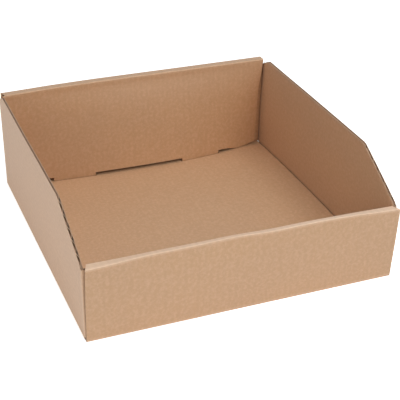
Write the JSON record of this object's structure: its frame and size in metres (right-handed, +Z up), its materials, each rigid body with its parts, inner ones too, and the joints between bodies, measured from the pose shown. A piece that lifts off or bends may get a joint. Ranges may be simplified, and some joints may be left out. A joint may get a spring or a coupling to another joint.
{
  "type": "corrugated parts bin",
  "caption": "Open-top shelf bin folded from one sheet of fluted kraft board, with rolled front and back walls and sides that slope down to a low front.",
  "frame": {"origin": "centre of the footprint, on the resting plane", "axes": "+X to the right seen from the low front, +Y from the low front towards the high back, +Z up"},
  "size_m": [0.317, 0.317, 0.112],
  "materials": {
    "kraft_board": "matte, natural brown kraft facings"
  },
  "bodies": {
    "root": {"folded_bin": "kraft_board"}
  },
  "joints": []
}
